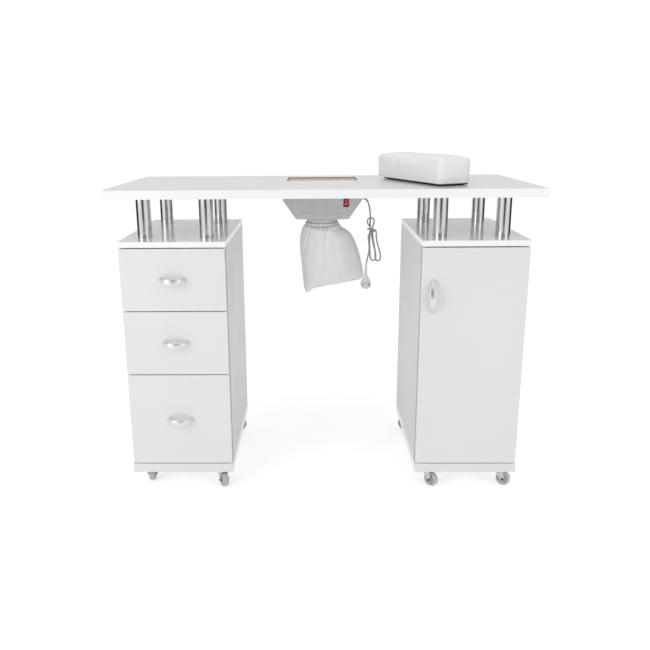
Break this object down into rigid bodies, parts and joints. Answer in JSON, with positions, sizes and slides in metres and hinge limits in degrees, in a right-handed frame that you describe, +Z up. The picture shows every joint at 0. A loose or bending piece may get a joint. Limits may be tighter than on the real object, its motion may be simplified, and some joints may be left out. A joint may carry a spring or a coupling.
{
  "type": "manicure table",
  "caption": "White laminate manicure table on castered cabinets with drawers and a door, a built-in dust collector with fan and bag, a mains cord and a loose wrist cushion.",
  "frame": {"origin": "on the floor under the middle of the worktop", "axes": "+X to the right along the worktop, +Y away from the client side, +Z up"},
  "size_m": [1.1, 0.46, 0.9079],
  "materials": {
    "white_laminate": "smooth gloss white melamine on fibreboard",
    "steel_tube": "satin-brushed stainless tube",
    "zinc_steel": "bright zinc-plated steel",
    "satin_metal": "satin nickel-coloured cast handle",
    "grey_abs": "fine-textured grey moulded plastic",
    "black_plastic": "black moulded plastic",
    "red_plastic": "glossy translucent red",
    "trim_metal": "dark satin paint",
    "copper_mesh": "copper-coloured expanded mesh",
    "filter_cloth": "white non-woven filter cloth",
    "elastic_band": "stitched elastic hem",
    "cord_pvc": "satin light grey sheath",
    "plug_plastic": "glossy white moulding with nickel pins",
    "leatherette": "fine-grained white leatherette",
    "caster_frame": "bright zinc-plated pressing",
    "caster_tread": "light grey moulded wheel"
  },
  "bodies": {
    "frame": {"tabletop": "white_laminate", "vent_trim": "trim_metal", "collector_housing": "grey_abs", "fan_frame": "black_plastic", "fan_motor": "zinc_steel", "outlet_collar": "grey_abs", "switch_bezel": "black_plastic", "cord_gland": "black_plastic", "support_tubes": "steel_tube", "tube_bolts": "zinc_steel", "left_cabinet_top": "white_laminate", "left_cabinet_bottom": "white_laminate", "left_cabinet_sides": "white_laminate", "left_cabinet_back": "white_laminate", "right_cabinet_top": "white_laminate", "right_cabinet_bottom": "white_laminate", "right_cabinet_sides": "white_laminate", "right_cabinet_back": "white_laminate", "right_cabinet_shelf": "white_laminate", "cabinet_rails": "zinc_steel", "hinge_arms": "zinc_steel", "caster_plates": "zinc_steel", "bag_band": "elastic_band", "dust_bag": "filter_cloth", "power_cord": "cord_pvc", "cord_hank": "cord_pvc", "plug": "plug_plastic"},
    "drawer_1": {"drawer_1_front": "white_laminate", "drawer_1_box": "white_laminate", "drawer_1_handle": "satin_metal"},
    "drawer_2": {"drawer_2_front": "white_laminate", "drawer_2_box": "white_laminate", "drawer_2_handle": "satin_metal"},
    "drawer_3": {"drawer_3_front": "white_laminate", "drawer_3_box": "white_laminate", "drawer_3_handle": "satin_metal"},
    "door": {"door_panel": "white_laminate", "door_handle": "satin_metal", "hinge_cups": "zinc_steel"},
    "rocker": {"switch_rocker": "red_plastic"},
    "grille": {"vent_grille": "copper_mesh"},
    "impeller": {"fan_impeller": "black_plastic"},
    "armrest": {"armrest_pad": "leatherette", "armrest_base": "black_plastic"},
    "swivel_1": {"caster_fork_1": "caster_frame"},
    "wheel_1": {"caster_wheel_1": "caster_tread"},
    "swivel_2": {"caster_fork_2": "caster_frame"},
    "wheel_2": {"caster_wheel_2": "caster_tread"},
    "swivel_3": {"caster_fork_3": "caster_frame"},
    "wheel_3": {"caster_wheel_3": "caster_tread"},
    "swivel_4": {"caster_fork_4": "caster_frame"},
    "wheel_4": {"caster_wheel_4": "caster_tread"},
    "swivel_5": {"caster_fork_5": "caster_frame"},
    "wheel_5": {"caster_wheel_5": "caster_tread"},
    "swivel_6": {"caster_fork_6": "caster_frame"},
    "wheel_6": {"caster_wheel_6": "caster_tread"},
    "swivel_7": {"caster_fork_7": "caster_frame"},
    "wheel_7": {"caster_wheel_7": "caster_tread"},
    "swivel_8": {"caster_fork_8": "caster_frame"},
    "wheel_8": {"caster_wheel_8": "caster_tread"}
  },
  "joints": [
    {"name": "drawer_1_slide", "type": "slide", "parent": "frame", "child": "drawer_1", "axis": [0, -1, 0], "range_m": [0, 0.26]},
    {"name": "drawer_2_slide", "type": "slide", "parent": "frame", "child": "drawer_2", "axis": [0, -1, 0], "range_m": [0, 0.26]},
    {"name": "drawer_3_slide", "type": "slide", "parent": "frame", "child": "drawer_3", "axis": [0, -1, 0], "range_m": [0, 0.26]},
    {"name": "door_hinge", "type": "hinge", "parent": "frame", "child": "door", "pos_m": [0.5144, -0.1984, 0.3825], "axis": [0, 0, 1], "range_deg": [0, 95]},
    {"name": "rocker_tilt", "type": "hinge", "parent": "frame", "child": "rocker", "pos_m": [0.0675, 0.025, 0.771], "axis": [1, 0, 0], "range_deg": [0, 14]},
    {"name": "fan_spin", "type": "hinge", "parent": "frame", "child": "impeller", "pos_m": [0, 0.1, 0.74], "axis": [0, 0, 1], "continuous": true},
    {"name": "grille_lift", "type": "slide", "parent": "frame", "child": "grille", "axis": [0, 0, 1], "range_m": [0, 0.08]},
    {"name": "armrest_lift", "type": "slide", "parent": "frame", "child": "armrest", "axis": [0, 0, 1], "range_m": [0, 0.12]},
    {"name": "swivel_1_turn", "type": "hinge", "parent": "frame", "child": "swivel_1", "pos_m": [-0.487, -0.165, 0.045], "axis": [0, 0, 1], "continuous": true},
    {"name": "wheel_1_roll", "type": "hinge", "parent": "swivel_1", "child": "wheel_1", "pos_m": [-0.48919, -0.14713, 0.019], "axis": [-0.9925, -0.1219, 0], "continuous": true},
    {"name": "swivel_2_turn", "type": "hinge", "parent": "frame", "child": "swivel_2", "pos_m": [-0.288, -0.165, 0.045], "axis": [0, 0, 1], "continuous": true},
    {"name": "wheel_2_roll", "type": "hinge", "parent": "swivel_2", "child": "wheel_2", "pos_m": [-0.27955, -0.18089, 0.019], "axis": [0.8829, 0.4695, 0], "continuous": true},
    {"name": "swivel_3_turn", "type": "hinge", "parent": "frame", "child": "swivel_3", "pos_m": [-0.487, 0.16, 0.045], "axis": [0, 0, 1], "continuous": true},
    {"name": "wheel_3_roll", "type": "hinge", "parent": "swivel_3", "child": "wheel_3", "pos_m": [-0.478, 0.17559, 0.019], "axis": [-0.866, 0.5, 0], "continuous": true},
    {"name": "swivel_4_turn", "type": "hinge", "parent": "frame", "child": "swivel_4", "pos_m": [-0.288, 0.16, 0.045], "axis": [0, 0, 1], "continuous": true},
    {"name": "wheel_4_roll", "type": "hinge", "parent": "swivel_4", "child": "wheel_4", "pos_m": [-0.27088, 0.16556, 0.019], "axis": [-0.309, 0.9511, 0], "continuous": true},
    {"name": "swivel_5_turn", "type": "hinge", "parent": "frame", "child": "swivel_5", "pos_m": [0.288, -0.165, 0.045], "axis": [0, 0, 1], "continuous": true},
    {"name": "wheel_5_roll", "type": "hinge", "parent": "swivel_5", "child": "wheel_5", "pos_m": [0.30138, -0.17704, 0.019], "axis": [0.6691, 0.7431, 0], "continuous": true},
    {"name": "swivel_6_turn", "type": "hinge", "parent": "frame", "child": "swivel_6", "pos_m": [0.487, -0.165, 0.045], "axis": [0, 0, 1], "continuous": true},
    {"name": "wheel_6_roll", "type": "hinge", "parent": "swivel_6", "child": "wheel_6", "pos_m": [0.50344, -0.17232, 0.019], "axis": [0.4067, 0.9135, 0], "continuous": true},
    {"name": "swivel_7_turn", "type": "hinge", "parent": "frame", "child": "swivel_7", "pos_m": [0.288, 0.16, 0.045], "axis": [0, 0, 1], "continuous": true},
    {"name": "wheel_7_roll", "type": "hinge", "parent": "swivel_7", "child": "wheel_7", "pos_m": [0.27241, 0.169, 0.019], "axis": [-0.5, -0.866, 0], "continuous": true},
    {"name": "swivel_8_turn", "type": "hinge", "parent": "frame", "child": "swivel_8", "pos_m": [0.487, 0.16, 0.045], "axis": [0, 0, 1], "continuous": true},
    {"name": "wheel_8_roll", "type": "hinge", "parent": "swivel_8", "child": "wheel_8", "pos_m": [0.48234, 0.17739, 0.019], "axis": [-0.9659, -0.2588, 0], "continuous": true}
  ]
}
